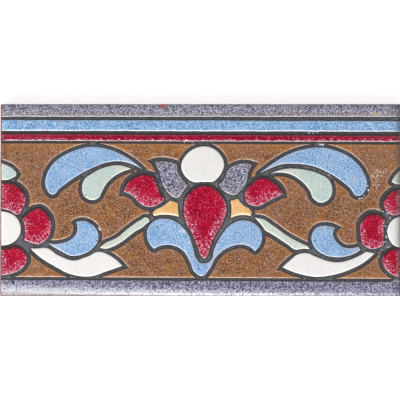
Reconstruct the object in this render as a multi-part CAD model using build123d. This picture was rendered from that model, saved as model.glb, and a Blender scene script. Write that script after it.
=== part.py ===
from build123d import *
import os

# Border tile, millimetres. The back lies on Z = 0, the glazed face looks up +Z,
# +X runs along the border and +Y points at the banded edge.

# Driving sizes
tile_length = 280.0        # along the border
tile_width = 134.4         # across it
tile_height = 12.0         # back to the top of the glaze
glaze_rise = 0.6           # glaze above the bare dry line
cushion = 2.6              # rounding of the face into the four sides
side_ease = 0.8            # rounding of the upright corners
back_ease = 0.6            # chamfer round the back
motif_line = 2.5           # dry line between a motif pool and the ground
bare_end = 1.1             # bare clay at the starting end
bare_side = 0.5            # bare clay at the other three sides
key_depth = 1.0            # keying grooves in the back
key_width = 9.0
key_pitch = 22.0
key_count = 5

# Heights of the band edges above the middle, at the starting end and at the far end
grey_foot = (58.2, 58.1)
sky_head, sky_foot = (56.0, 55.1), (48.4, 47.7)
crimson_head, crimson_foot = (46.8, 45.5), (41.4, 40.6)
ground_head, ground_foot = (39.8, 38.9), (-53.6, -55.0)
plinth_head = (-55.4, -57.0)

# The drawing below is set out on a face of this size and follows the tile.
# Strokes that leave the face end a little outside it.
drawn_length = 280.0
drawn_width = 134.4
smallest_pool = 12.0       # ground slivers of less area stay bare, square millimetres
flat_enough = 1e-4         # sine below which an arc is drawn as a line


def tip(x, y):
    """A sharp corner of an outline; plain pairs are smooth points."""
    return (x, y, True)


# Edges of the glaze pools, each drawn once round in order
pools = {
    "leaf_left": [
        tip(-40.0, 21.0), (-50.5, 29.3), (-63.0, 35.2), (-76.0, 37.2), (-91.0, 33.4),
        (-102.3, 25.9), (-107.6, 16.8), (-107.9, 9.2), (-103.5, 3.9), (-97.5, 8.6),
        (-87.0, 16.2), (-75.0, 22.6), (-65.0, 26.3), (-56.0, 27.0), (-47.7, 25.0),
    ],
    "leaf_left_inner": [
        tip(-48.2, 21.6), (-57.3, 24.3), (-66.0, 23.0), (-75.0, 18.9), (-81.0, 14.2),
        (-82.6, 8.0), (-80.4, 2.0), (-70.6, 1.9), (-68.6, 6.0), (-64.5, 12.6), (-57.0, 18.5),
    ],
    "calyx_left": [
        tip(-141.0, 26.0), (-136.0, 24.7), (-130.9, 21.8), (-128.4, 17.7), (-131.6, 15.2),
        tip(-141.0, 14.7),
    ],
    "petal_left_top": [
        tip(-141.0, 11.0), (-127.0, 10.0), (-121.6, 0.0), (-123.4, -5.4), (-127.6, -10.2),
        (-132.5, -7.8), tip(-141.0, -5.9),
    ],
    "heart_left": [
        tip(-141.0, -8.0), (-134.5, -8.6), (-129.0, -11.5), (-127.8, -27.3), (-132.3, -30.5),
        tip(-141.0, -31.4),
    ],
    "petal_left_inner": [
        tip(-124.7, -12.9), (-118.2, -6.9), (-111.5, -5.3), (-106.6, -9.0), (-103.8, -16.0),
        (-108.8, -28.9), (-113.2, -31.0), (-118.0, -29.8), tip(-123.3, -27.8), (-122.7, -20.0),
    ],
    "petal_left_foot": [
        tip(-141.0, -34.3), (-134.5, -33.1), (-128.5, -31.9), (-123.0, -34.9), (-120.6, -40.3),
        (-122.2, -45.6), (-127.5, -49.8), (-134.0, -51.9), tip(-141.0, -52.6),
    ],
    "hook_left": [
        tip(-86.7, -15.5), (-81.5, -14.6), (-75.6, -17.1), (-71.4, -22.7), (-71.5, -28.5),
        (-76.0, -34.5), (-83.5, -38.3), (-90.0, -38.9), (-97.5, -35.5), tip(-106.2, -30.2),
        (-97.0, -30.1), (-90.0, -27.4), (-86.1, -22.3),
    ],
    "crescent_left": [
        tip(-118.4, -33.7), (-113.4, -33.8), (-108.4, -33.3), (-98.2, -38.9), (-88.5, -42.1),
        (-79.0, -39.5), (-70.5, -36.1), (-62.7, -38.9), tip(-54.4, -45.9), (-64.5, -49.5),
        (-77.0, -53.3), (-90.5, -51.7), (-101.8, -46.1), (-112.0, -39.7),
    ],
    "stem_left": [
        tip(-70.2, -33.2), (-66.8, -30.4), (-58.5, -26.4), (-50.0, -19.6), (-42.0, -14.1),
        (-37.2, -12.2), (-35.7, -13.5), (-38.9, -17.8), (-46.3, -22.6), (-55.0, -29.3),
        (-61.5, -32.8), (-66.5, -34.0),
    ],
    "bud_left": [
        tip(-53.6, 5.7), (-51.4, 12.3), (-46.0, 16.8), (-38.6, 18.4), (-32.6, 16.6),
        (-29.9, 11.0), (-27.6, 5.2), (-25.2, 1.7), (-29.5, -3.3), (-36.0, -5.0),
        (-42.0, -2.6), (-47.5, 3.0),
    ],
    "sepal_left": [
        tip(-31.8, 26.9), (-19.5, 26.2), tip(-16.1, 24.9), (-15.9, 20.6), (-13.3, 15.8),
        tip(-8.7, 10.3), (-12.3, 5.5), (-14.6, 2.1), (-17.5, 1.6), (-22.5, 4.8), (-26.4, 10.9),
        (-28.5, 18.6),
    ],
    "disc": [
        (-13.4, 24.3), (-10.0, 31.4), (-2.0, 36.8), (6.0, 37.1), (13.2, 32.5), (16.5, 25.0),
        (14.2, 18.0), tip(8.6, 12.5), (2.2, 12.6), tip(-4.4, 12.4), (-10.4, 16.3),
    ],
    "sepal_right": [
        tip(12.9, 11.1), (17.2, 16.1), (19.1, 20.8), (25.0, 24.7), tip(36.2, 24.7),
        (33.5, 19.5), (32.6, 13.7), (29.0, 7.7), (23.5, 3.4), (19.2, 4.5),
    ],
    "drop": [
        (2.0, 10.8), (15.9, 2.8), (18.5, -5.3), (16.4, -14.5), (10.2, -25.0), (6.9, -33.0),
        (5.2, -38.6), (2.7, -40.8), (0.4, -38.9), (-2.6, -32.0), (-6.6, -22.0), (-10.8, -14.5),
        (-11.9, -6.0), (-9.3, 4.3),
    ],
    "flame_left": [
        tip(-21.2, -0.3), tip(-15.8, -2.1), (-15.5, -7.0), tip(-14.8, -11.8), (-23.5, -10.3),
        tip(-32.2, -11.2), (-33.2, -9.2), (-31.7, -7.2), (-26.5, -4.5),
    ],
    "flame_right": [
        tip(21.1, -0.6), tip(26.2, 1.0), (30.0, -3.6), (34.7, -6.8), (35.7, -9.2),
        tip(34.9, -11.3), (28.2, -10.6), tip(21.1, -12.7), (21.7, -6.5),
    ],
    "calyx": [
        tip(-32.2, -34.1), (-36.3, -28.7), (-36.6, -19.8), (-30.5, -13.8), (-22.0, -13.4),
        (-8.6, -23.7), (-5.2, -33.0), (-2.9, -40.6), (0.0, -43.8), (4.5, -43.9), (7.6, -41.6),
        (9.6, -34.5), (14.5, -25.0), (21.0, -17.3), (29.5, -14.2), (42.9, -24.0),
        tip(38.0, -35.6), (33.0, -32.1), (17.5, -34.2), (10.5, -40.5), (6.2, -48.3),
        (1.0, -53.1), (-4.0, -50.2), (-7.4, -42.8), (-12.0, -35.5),
    ],
    "bud_right": [
        tip(57.6, 4.2), (55.4, 9.2), (50.6, 13.5), (43.2, 16.5), (36.5, 13.0), (31.2, 6.3),
        (31.2, 0.2), (35.5, -3.8), (40.5, -4.2), (48.0, -0.6),
    ],
    "leaf_right_inner": [
        tip(48.4, 18.0), (55.0, 20.8), (73.0, 21.1), (83.0, 18.2), (89.3, 14.5), (92.0, 8.0),
        (90.3, 1.3), (84.0, -1.9), (79.0, 0.8), (76.0, 7.0), (69.0, 14.4), (60.0, 18.7),
    ],
    "leaf_right": [
        tip(41.1, 18.4), (50.0, 25.2), (62.0, 32.2), (73.0, 35.7), (84.0, 36.7),
        (96.0, 34.1), (106.5, 28.4), (113.5, 20.0), (116.2, 10.5), (110.6, 2.9),
        (103.0, 9.7), (92.0, 17.6), (80.0, 23.2), (68.0, 25.2), (56.0, 24.7),
        (48.5, 21.9),
    ],
    "stem_right": [
        tip(37.8, -12.5), (43.0, -13.1), (51.0, -18.0), (61.0, -25.1), tip(74.9, -32.1),
        tip(76.2, -34.3), (71.0, -34.1), (67.0, -34.7), (60.0, -30.5), (51.5, -24.9),
        tip(45.1, -21.3), (42.0, -16.8),
    ],
    "hook_right": [
        tip(93.9, -19.3), (92.4, -24.0), (95.0, -29.2), (100.0, -33.0), (105.0, -33.6),
        tip(110.2, -32.4), tip(111.6, -34.9), (96.0, -40.0), (86.5, -38.3), (79.3, -32.7),
        (77.4, -25.5), (81.0, -19.4), (87.5, -17.9),
    ],
    "crescent_right": [
        tip(57.2, -46.9), (62.5, -42.0), (68.0, -37.9), (74.0, -37.0), (80.5, -39.5),
        (88.6, -42.5), (96.0, -43.4), (105.0, -41.4), tip(115.4, -36.0), tip(121.4, -37.2),
        (114.5, -43.2), (103.0, -49.1), (91.0, -52.6), (81.0, -53.6), (69.5, -51.7),
    ],
    "petal_right_inner": [
        (119.3, -9.0), (125.8, -10.7), tip(129.2, -13.3), (127.9, -22.0),
        tip(128.3, -31.2), (124.2, -33.4), (118.5, -34.1), (113.2, -30.8),
        (111.2, -23.5), (112.7, -13.5),
    ],
    "heart_right": [
        tip(141.0, -11.4), (131.8, -16.5), (131.6, -27.5), (135.3, -31.9), tip(141.0, -33.0),
    ],
    "petal_right_top": [
        tip(141.0, 7.8), (130.0, 3.7), (127.4, -1.8), (129.3, -7.2), (133.2, -10.4),
        tip(141.0, -8.6),
    ],
    "petal_right_foot": [
        tip(141.0, -34.4), (134.0, -33.6), (126.5, -41.0), (127.8, -46.5), (132.5, -51.4),
        tip(141.0, -54.2),
    ],
    "calyx_right": [
        tip(141.0, 21.8), (137.0, 18.4), tip(133.5, 12.8), (136.3, 11.2), tip(141.0, 11.2),
    ],
}

# Points of the dry line beyond a pool: where the pool ends and where the line ends
spurs = [
    ((-54.4, -45.9), (-49.9, -47.3)), ((-31.8, 26.9), (-37.2, 27.6)), ((-53.6, 5.7), (-56.8, 2.7)),
    ((-86.7, -15.5), (-90.4, -15.2)), ((93.9, -19.3), (98.2, -18.7)), ((36.2, 24.7), (40.7, 25.9)),
    ((57.6, 4.2), (60.3, 1.4)), ((57.2, -46.9), (53.2, -48.4)), ((-128.4, 17.7), (-125.0, 18.8)),
]

length_ratio = tile_length / drawn_length
width_ratio = tile_width / drawn_width
clay_height = tile_height - glaze_rise


def spot(x, y):
    return Vector(x * length_ratio, y * width_ratio, 0)


def tangent_arc(start, heading, end):
    """Arc that leaves start along heading and ends at end, or a line when it is as good as one."""
    chord = (end - start).normalized()
    if abs(heading.X * chord.Y - heading.Y * chord.X) < flat_enough:
        return Edge.make_line(start, end)
    return Edge.make_tangent_arc(start, heading, end)


def smooth_stretch(start, heading, end, arrival):
    """Two arcs that meet without a kink and keep the headings given at both ends."""
    across = start - end
    turn = heading + arrival
    fall = across.dot(turn)
    spread = 2 * (1 - heading.dot(arrival))
    chord_square = across.dot(across)
    if spread < flat_enough:
        reach = chord_square / (-2 * across.dot(arrival))
    else:
        root = (fall * fall + 2 * spread * chord_square / 2) ** 0.5
        reach = (fall + root) / spread
    joint = (start + end + (heading - arrival) * reach) * 0.5
    return [tangent_arc(start, heading, joint), tangent_arc(end, arrival * -1, joint)]


def outline(points):
    """Closed face through the points: sharp at tips, running arcs elsewhere."""
    spots = [spot(point[0], point[1]) for point in points]
    sharp = [len(point) > 2 for point in points]
    count = len(spots)
    headings = []
    for index in range(count):
        behind = spots[index] - spots[index - 1]
        ahead = spots[(index + 1) % count] - spots[index]
        mean = behind.normalized() * ahead.length + ahead.normalized() * behind.length
        headings.append(mean.normalized())
    edges = []
    for index in range(count):
        follower = (index + 1) % count
        start, end = spots[index], spots[follower]
        if sharp[index] and sharp[follower]:
            edges.append(Edge.make_line(start, end))
        elif sharp[index]:
            edges.append(tangent_arc(end, headings[follower] * -1, start))
        elif sharp[follower]:
            edges.append(tangent_arc(start, headings[index], end))
        else:
            edges += smooth_stretch(start, headings[index], end, headings[follower])
    return Face(Wire(edges))


def strip(head, foot):
    """Band across the whole face between two sloping edges."""
    half = drawn_length / 2
    corners = [spot(-half, head[0]), spot(half, head[1]), spot(half, foot[1]), spot(-half, foot[0])]
    return Face(Wire.make_polygon(corners, close=True))


def spur(root, point):
    """Wedge of dry line out to point from the line round root, if it reaches past that line."""
    start, end = spot(*root), spot(*point)
    reach = (end - start).length
    if reach <= motif_line:
        return None
    along = (end - start).normalized()
    aside = Vector(-along.Y, along.X, 0)
    forward = motif_line * motif_line / reach
    outward = (motif_line * motif_line - forward * forward) ** 0.5
    corners = [start, start + along * forward + aside * outward, end,
               start + along * forward - aside * outward]
    return Face(Wire.make_polygon(corners, close=True))


def as_faces(shape):
    """Every face of a boolean result, whatever it came back as."""
    if isinstance(shape, list):
        return [face for part in shape for face in as_faces(part)]
    return list(shape.faces())


def glazed_area():
    """Where glaze may lie, seen from above."""
    length = tile_length - bare_end - bare_side
    return Pos((bare_end - bare_side) / 2, 0) * Rectangle(length, tile_width - 2 * bare_side)


half_width = drawn_width / 2
top_edge = (half_width, half_width)
foot_edge = (-half_width, -half_width)
motif_faces = [outline(points) for points in pools.values()]
bands = [strip(top_edge, grey_foot), strip(sky_head, sky_foot), strip(crimson_head, crimson_foot),
         strip(plinth_head, foot_edge)]

# The ground is what the motif and its lines leave
ground = glazed_area() & strip(ground_head, ground_foot)
for face in motif_faces:
    ground -= offset(face, motif_line)
for root_spot, point_spot in spurs:
    wedge = spur(root_spot, point_spot)
    if wedge is not None:
        ground -= wedge
grounds = [face for face in as_faces(ground) if face.area > smallest_pool]

outlines = []
for face in motif_faces + bands:
    outlines += as_faces(glazed_area() & face)
outlines += grounds


def block(height, rounding):
    """Tile blank of the given height with its face rounded into the sides."""
    blank = extrude(Rectangle(tile_length, tile_width), height)
    blank = fillet(blank.edges().filter_by(Axis.Z), side_ease)
    return fillet(blank.faces().sort_by(Axis.Z)[-1].edges(), rounding)


# Fired clay body, eased round the back and grooved for the mortar
clay = block(clay_height, cushion - glaze_rise)
clay = chamfer(clay.faces().sort_by(Axis.Z)[0].edges(), back_ease)
for index in range(key_count):
    station = (index - (key_count - 1) / 2) * key_pitch
    clay -= Pos(0, station, 0) * Box(tile_length, key_width, 2 * key_depth)

# Glaze pools standing on it
blank = block(tile_height, cushion)
root = clay_height - cushion


def pool(face):
    """One pool of glaze, cut from the blank so that it follows the rounded sides."""
    return blank & extrude(Pos(0, 0, root) * face, tile_height - root, dir=(0, 0, 1))


border_tile = clay
for face in outlines:
    border_tile += pool(face)
border_tile = border_tile.solids()[0]
border_tile.label = "border_tile"

os.makedirs("parts", exist_ok=True)
export_step(border_tile, "parts/border_tile.step")
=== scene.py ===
"""Dry-line border tile: coloured glazes pooled between matte lines on a fired clay body."""

import logging
import math
from dataclasses import dataclass
from enum import Enum
from typing import Sequence, Union

import bmesh
import bpy
import numpy as np
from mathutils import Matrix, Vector, geometry, kdtree, noise


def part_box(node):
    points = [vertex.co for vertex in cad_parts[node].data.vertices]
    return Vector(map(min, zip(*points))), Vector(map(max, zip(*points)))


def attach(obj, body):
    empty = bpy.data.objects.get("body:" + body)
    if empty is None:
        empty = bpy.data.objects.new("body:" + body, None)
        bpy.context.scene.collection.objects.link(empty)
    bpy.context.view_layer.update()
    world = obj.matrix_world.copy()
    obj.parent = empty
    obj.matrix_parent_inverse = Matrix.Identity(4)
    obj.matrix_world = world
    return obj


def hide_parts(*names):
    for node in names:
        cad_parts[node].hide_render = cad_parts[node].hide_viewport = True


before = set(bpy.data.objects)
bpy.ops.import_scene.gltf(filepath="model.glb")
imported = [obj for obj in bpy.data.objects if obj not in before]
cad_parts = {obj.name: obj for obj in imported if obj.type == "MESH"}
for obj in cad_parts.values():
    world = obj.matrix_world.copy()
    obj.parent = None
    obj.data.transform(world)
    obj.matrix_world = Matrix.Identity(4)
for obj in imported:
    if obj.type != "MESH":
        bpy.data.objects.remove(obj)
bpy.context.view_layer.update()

log = logging.getLogger("border_tile")

MM = 0.001                      # Blender and the studio work in metres, the tile in millimetres
NODE = "border_tile"
BODY = "root"

Colour = tuple[float, float, float]
Spot = tuple[float, float]


class Glaze(Enum):
    """The glazes that fill the pools."""

    GROUND = "glaze_ground"
    CRIMSON = "glaze_crimson"
    BLUE = "glaze_blue"
    SKY = "glaze_sky"
    GREEN = "glaze_green"
    WHITE = "glaze_white"
    GREY = "glaze_grey"
    ORANGE = "glaze_orange"
    PLINTH = "glaze_plinth"
    BAND = "glaze_band"


def linear(colour: Colour) -> tuple[float, float, float, float]:
    """Linear RGBA of a colour given as 0-255 display values.

    Args:
        colour: Red, green and blue as they show on screen.

    Returns:
        The same colour for a shader socket.
    """
    parts = []
    for level in colour:
        share = max(0.0, level / 255)
        parts.append(share / 12.92 if share <= 0.04045 else ((share + 0.055) / 1.055) ** 2.4)
    return (parts[0], parts[1], parts[2], 1.0)


class Signal:
    """One output of a shader node that takes part in Python expressions."""

    def __init__(self, recipe: "Recipe", node: bpy.types.Node,
                 socket: Union[bpy.types.NodeSocket, None]) -> None:
        """Wraps the socket of a node.

        Args:
            recipe: Recipe that the node is in.
            node: The node.
            socket: One of its outputs, or None where it has none.
        """
        self.recipe = recipe
        self.node = node
        self.socket = socket

    def output(self, name: Union[str, int]) -> "Signal":
        """Another output of the same node."""
        return Signal(self.recipe, self.node, self.node.outputs[name])

    def _math(self, operation: str, *values: "Value") -> "Signal":
        """A Math node on the values."""
        return self.recipe.node("ShaderNodeMath", {"operation": operation}, dict(enumerate(values)))

    def __add__(self, other: "Value") -> "Signal":
        """Sum."""
        return self._math("ADD", self, other)

    def __radd__(self, other: "Value") -> "Signal":
        """Sum with a number first."""
        return self._math("ADD", other, self)

    def __sub__(self, other: "Value") -> "Signal":
        """Difference."""
        return self._math("SUBTRACT", self, other)

    def __rsub__(self, other: "Value") -> "Signal":
        """Difference from a number."""
        return self._math("SUBTRACT", other, self)

    def __mul__(self, other: "Value") -> "Signal":
        """Product."""
        return self._math("MULTIPLY", self, other)

    def __rmul__(self, other: "Value") -> "Signal":
        """Product with a number first."""
        return self._math("MULTIPLY", other, self)

    def __truediv__(self, other: "Value") -> "Signal":
        """Quotient."""
        return self._math("DIVIDE", self, other)

    def __rtruediv__(self, other: "Value") -> "Signal":
        """Quotient with a number first."""
        return self._math("DIVIDE", other, self)

    def at_least(self, other: "Value") -> "Signal":
        """The larger of two values."""
        return self._math("MAXIMUM", self, other)

    def at_most(self, other: "Value") -> "Signal":
        """The smaller of two values."""
        return self._math("MINIMUM", self, other)

    def rise(self, low: float, high: float) -> "Signal":
        """Smooth step from 0 at low to 1 at high, or down where low is the larger.

        Args:
            low: Value that gives 0.
            high: Value that gives 1.

        Returns:
            The step, kept between 0 and 1.
        """
        settings = {"interpolation_type": "SMOOTHSTEP", "clamp": True}
        return self.recipe.node("ShaderNodeMapRange", settings,
                                {"Value": self, "From Min": low, "From Max": high})


Value = Union[Signal, float, int, Sequence[float]]


class Spread(Enum):
    """Where scattered dots lie: on the face alone, or all through the piece."""

    FACE = "2D"
    THROUGH = "3D"


class Recipe:
    """Node tree of a material or a world, written as expressions."""

    NOISE_ROUGHNESS = 0.55
    CHOICE_EDGE = 0.01          # softness of the choice of places that have a dot
    SMALLEST_DOT = 0.75         # radius of the smallest dot, as a share of the mean
    DOT_SPREAD = 0.5            # how much wider than that the widest is
    DOT_EDGE = (1.25, 0.75)     # where a dot ends and where it is full, as shares of its radius

    def __init__(self, owner: Union[bpy.types.Material, bpy.types.World]) -> None:
        """Empties the node tree of its owner.

        Args:
            owner: The material or world that the recipe makes.
        """
        owner.use_nodes = True
        self.owner = owner
        self.tree = owner.node_tree
        self.tree.nodes.clear()
        self._place: Union[Signal, None] = None
        self._edge: Union[Signal, None] = None
        self._room: Union[Signal, None] = None

    def node(self, kind: str, settings: Union[dict, None] = None, inputs: Union[dict, None] = None,
             output: Union[str, int] = 0) -> Signal:
        """Adds a node.

        Args:
            kind: Type of the node.
            settings: Its properties, set first.
            inputs: Values or signals by socket name, identifier or number.
            output: Name or number of the output that is wanted.

        Returns:
            That output.
        """
        made = self.tree.nodes.new(kind)
        for name, value in (settings or {}).items():
            setattr(made, name, value)
        for key, value in (inputs or {}).items():
            socket = self._socket(made.inputs, key)
            if isinstance(value, Signal):
                self.tree.links.new(value.socket, socket)
            else:
                socket.default_value = value
        return Signal(self, made, self._socket(made.outputs, output) if len(made.outputs) else None)

    @staticmethod
    def _socket(sockets: bpy.types.bpy_prop_collection, key: Union[str, int]) -> bpy.types.NodeSocket:
        """Finds a socket.

        Args:
            sockets: The inputs or the outputs of a node.
            key: Its identifier, name or number.

        Returns:
            The socket.
        """
        named = [socket for socket in sockets if socket.identifier == key]
        return named[0] if named else sockets[key]

    def place(self) -> Signal:
        """Reads the place on the tile.

        Returns:
            The position in millimetres.
        """
        if self._place is None:
            where = self.node("ShaderNodeTexCoord", output="Object")
            self._place = self.node("ShaderNodeVectorMath", {"operation": "SCALE"},
                                    {0: where, "Scale": 1 / MM})
        return self._place

    def edge(self) -> tuple[Signal, Signal, Signal]:
        """Reads where a point lies in its pool.

        Returns:
            Distance from the pool's edge, run along it, and how far that edge faces the foot.
        """
        if self._edge is None:
            stored = self.node("ShaderNodeAttribute", {"attribute_name": Sheet.ATTRIBUTE},
                               output="Vector")
            self._edge = self.node("ShaderNodeSeparateXYZ", inputs={"Vector": stored})
        return self._edge, self._edge.output("Y"), self._edge.output("Z")

    def room(self) -> Signal:
        """Reads how wide the pool is hereabouts.

        Returns:
            Half its width in millimetres.
        """
        if self._room is None:
            self._room = self.node("ShaderNodeAttribute", {"attribute_name": Sheet.ROOM}, output="Fac")
        return self._room

    def _steps(self, size: float, shift: Spot) -> Signal:
        """Place on the tile in steps of that size, moved by the shift."""
        return self.node("ShaderNodeMapping", inputs={
            "Vector": self.place(), "Location": (*shift, 0.0), "Scale": (1 / size, 1 / size, 1 / size)})

    def cloud(self, size: float, detail: float = 2.0, shift: Spot = (0.0, 0.0)) -> Signal:
        """Smooth noise between 0 and 1.

        Args:
            size: Width of its lumps in millimetres.
            detail: How much finer noise is laid over them.
            shift: Offset of the pattern, so that two clouds differ.

        Returns:
            The noise.
        """
        return self.node("ShaderNodeTexNoise", {"noise_dimensions": "3D"}, {
            "Vector": self._steps(size, shift), "Scale": 1.0, "Detail": detail,
            "Roughness": self.NOISE_ROUGHNESS})

    def wave(self, size: float, detail: float = 2.0, shift: Spot = (0.0, 0.0)) -> Signal:
        """The same noise, between -0.5 and 0.5."""
        return self.cloud(size, detail, shift) - 0.5

    def grains(self, pitch: float, radius: float, share: float, shift: Spot = (0.0, 0.0),
               spread: Spread = Spread.FACE) -> Signal:
        """Scattered soft dots.

        Args:
            pitch: Mean distance between the places where one may be.
            radius: Their radius in millimetres.
            share: Share of the places that have one.
            shift: Offset of the pattern.
            spread: Whether they lie on the face alone.

        Returns:
            1 on a dot and 0 off it.
        """
        cell = self.node("ShaderNodeTexVoronoi", {"voronoi_dimensions": spread.value},
                         {"Vector": self._steps(pitch, shift), "Scale": 1.0, "Randomness": 1.0}, "Distance")
        tone = self.node("ShaderNodeSeparateColor", inputs={"Color": cell.output("Color")})
        chosen = tone.rise(1 - share - self.CHOICE_EDGE, 1 - share + self.CHOICE_EDGE)
        wide = tone.output("Green") * self.DOT_SPREAD + self.SMALLEST_DOT
        end, full = (part * radius / pitch for part in self.DOT_EDGE)
        return (cell / wide).rise(end, full) * chosen

    def mix(self, share: Value, first: Value, second: Value) -> Signal:
        """Mixes two colours.

        Args:
            share: How much of the second shows.
            first: Colour at share 0.
            second: Colour at share 1.

        Returns:
            The mixed colour.
        """
        settings = {"data_type": "RGBA", "clamp_factor": True}
        return self.node("ShaderNodeMix", settings,
                         {"Factor_Float": share, "A_Color": first, "B_Color": second}, "Result_Color")

    def bump(self, height: Signal, depth: float) -> Signal:
        """Surface normal of a relief.

        Args:
            height: Relief between 0 and 1.
            depth: Its height in millimetres.

        Returns:
            The normal.
        """
        return self.node("ShaderNodeBump", inputs={"Height": height, "Distance": depth * MM,
                                                   "Strength": 1.0}, output="Normal")

    def surface(self, colour: Value, roughness: Value, normal: Union[Signal, None] = None,
                **constants: float) -> bpy.types.Material:
        """Closes the recipe with its surface shader.

        Args:
            colour: Base colour.
            roughness: Roughness.
            normal: Normal, where there is a relief.
            constants: Other sockets of the shader, with underscores for spaces.

        Returns:
            The finished material.
        """
        inputs = {"Base Color": colour, "Roughness": roughness}
        if normal is not None:
            inputs["Normal"] = normal
        inputs.update({name.replace("_", " "): value for name, value in constants.items()})
        shader = self.node("ShaderNodeBsdfPrincipled", inputs=inputs)
        self.close(shader)
        return self.owner

    def close(self, shader: Signal) -> None:
        """Links a shader to the output of the material or world."""
        kind = "World" if isinstance(self.owner, bpy.types.World) else "Material"
        self.node("ShaderNodeOutput" + kind, inputs={"Surface": shader})


def new_recipe(name: str) -> Recipe:
    """Recipe of a new material."""
    return Recipe(bpy.data.materials.new(name))


@dataclass(frozen=True)
class Mark:
    """A scuff, speck or stain of its own colour."""

    spot: Spot
    length: float
    width: float
    colour: Colour
    turn: float = 0.0
    ragged: float = 0.5
    speck: float = 0.0          # above 0 the mark is a flurry of specks of this radius

    DEEP = 1000.0               # a mark goes right through the glaze
    FINEST = 0.5                # size of the smallest tears of its edge
    TEAR = 0.6                  # size of the tears, as a share of its width
    EDGE = (1.15, 0.75)         # where it ends and where it is full, as shares of its half size
    SPECK_PITCH = 2.6           # distance of its specks, in radii of one
    SPECK_SHARE = 0.7

    def mask(self, recipe: Recipe) -> Signal:
        """Where the mark shows.

        Args:
            recipe: Material that it is laid in.

        Returns:
            1 inside the mark and 0 outside.
        """
        moved = recipe.node("ShaderNodeMapping", {"vector_type": "TEXTURE"}, {
            "Vector": recipe.place(), "Location": (self.spot[0], self.spot[1], 0.0),
            "Rotation": (0.0, 0.0, math.radians(self.turn)),
            "Scale": (self.length / 2, self.width / 2, self.DEEP)})
        reach = recipe.node("ShaderNodeVectorMath", {"operation": "LENGTH"}, {0: moved}, "Value")
        torn = recipe.wave(max(self.FINEST, self.width * self.TEAR), 1.0)
        return (reach + torn * (self.ragged * 2)).rise(*self.EDGE)

    def over(self, recipe: Recipe, colour: Signal) -> Signal:
        """Lays the mark over a colour.

        Args:
            recipe: Material that it is laid in.
            colour: Colour below.

        Returns:
            The new colour.
        """
        share = self.mask(recipe)
        if self.speck > 0:
            pitch = self.SPECK_PITCH * self.speck
            share = share * recipe.grains(pitch, self.speck, self.SPECK_SHARE, self.spot)
        return recipe.mix(share, colour, linear(self.colour))


@dataclass(frozen=True)
class Mottle:
    """Uneven tone of a glaze, from its deep colour to its pale one."""

    deep: Colour
    pale: Colour
    grain: float = 1.2
    contrast: float = 2.0
    drift_size: float = 9.0
    drift: float = 0.8

    DRIFT_SHIFT = (31.0, 7.0)

    def colour(self, recipe: Recipe) -> Signal:
        """Colours the glaze before anything is laid over it.

        Args:
            recipe: Material of the glaze.

        Returns:
            Its colour.
        """
        fine = recipe.wave(self.grain, 1.0)
        broad = recipe.wave(self.drift_size, 2.0, self.DRIFT_SHIFT)
        tone = fine * self.contrast + broad * self.drift + 0.5
        return recipe.mix(tone, linear(self.deep), linear(self.pale))


@dataclass(frozen=True)
class Grain:
    """Scattered grains of one colour."""

    colour: Colour
    pitch: float
    radius: float
    share: float
    strength: float = 0.8
    spread: Spread = Spread.FACE

    SHIFTS = (7.0, 31.0)        # offset of the grains in pitches and radii, so that two kinds differ

    def over(self, recipe: Recipe, colour: Signal) -> Signal:
        """Lays the grains over a colour.

        Args:
            recipe: Material that it is laid in.
            colour: Colour below.

        Returns:
            The new colour.
        """
        shift = (self.pitch * self.SHIFTS[0], self.radius * self.SHIFTS[1])
        dots = recipe.grains(self.pitch, self.radius, self.share, shift, self.spread)
        return recipe.mix(dots * self.strength, colour, linear(self.colour))


@dataclass(frozen=True)
class Tint:
    """Broad soft patches of another colour."""

    colour: Colour
    size: float
    strength: float
    shift: float = 0.0

    DETAIL = 3.0
    SPAN = 80.0
    EDGE = (0.44, 0.66)         # noise at which a patch starts and at which it is full

    def over(self, recipe: Recipe, colour: Signal) -> Signal:
        """Lays the patches over a colour.

        Args:
            recipe: Material that it is laid in.
            colour: Colour below.

        Returns:
            The new colour.
        """
        patch = recipe.cloud(self.size, self.DETAIL, (self.shift, self.SPAN - self.shift))
        return recipe.mix(patch.rise(*self.EDGE) * self.strength, colour, linear(self.colour))


class Side(Enum):
    """Which edges of a pool a rim follows."""

    ALL = 0
    FOOT = 1
    HEAD = 2


@dataclass(frozen=True)
class Rim:
    """Colour along the edge of a pool: a glaze breaking to another tone, and painted highlight and painted
    shade on edges that face the light or turn from it.
    """

    colour: Colour
    width: float
    side: Side = Side.ALL
    strength: float = 1.0
    broken: float = 0.6

    WAVE = 2.5                  # size of the breaks
    SHIFTS = (13.0, 17.0)
    EDGE = (1.3, 0.5)           # where the rim ends and where it is full, as shares of its width
    FOOT = (0.25, 1.0)          # how far an edge faces the foot, where such a rim starts and is full
    HEAD = (0.1, -0.6)          # the same for a rim that faces the head

    def over(self, recipe: Recipe, colour: Signal) -> Signal:
        """Lays the rim over a colour.

        Args:
            recipe: Material that it is laid in.
            colour: Colour below.

        Returns:
            The new colour.
        """
        gap, _, foot = recipe.edge()
        wave = recipe.wave(self.WAVE, 2.0, (self.SHIFTS[0], self.width * self.SHIFTS[1]))
        end, full = (self.width * part for part in self.EDGE)
        share = (gap + wave * (self.broken * self.width * 2)).rise(end, full)
        if self.side is Side.FOOT:
            share = share * foot.rise(*self.FOOT)
        elif self.side is Side.HEAD:
            share = share * foot.rise(*self.HEAD)
        return recipe.mix(share * self.strength, colour, linear(self.colour))


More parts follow.
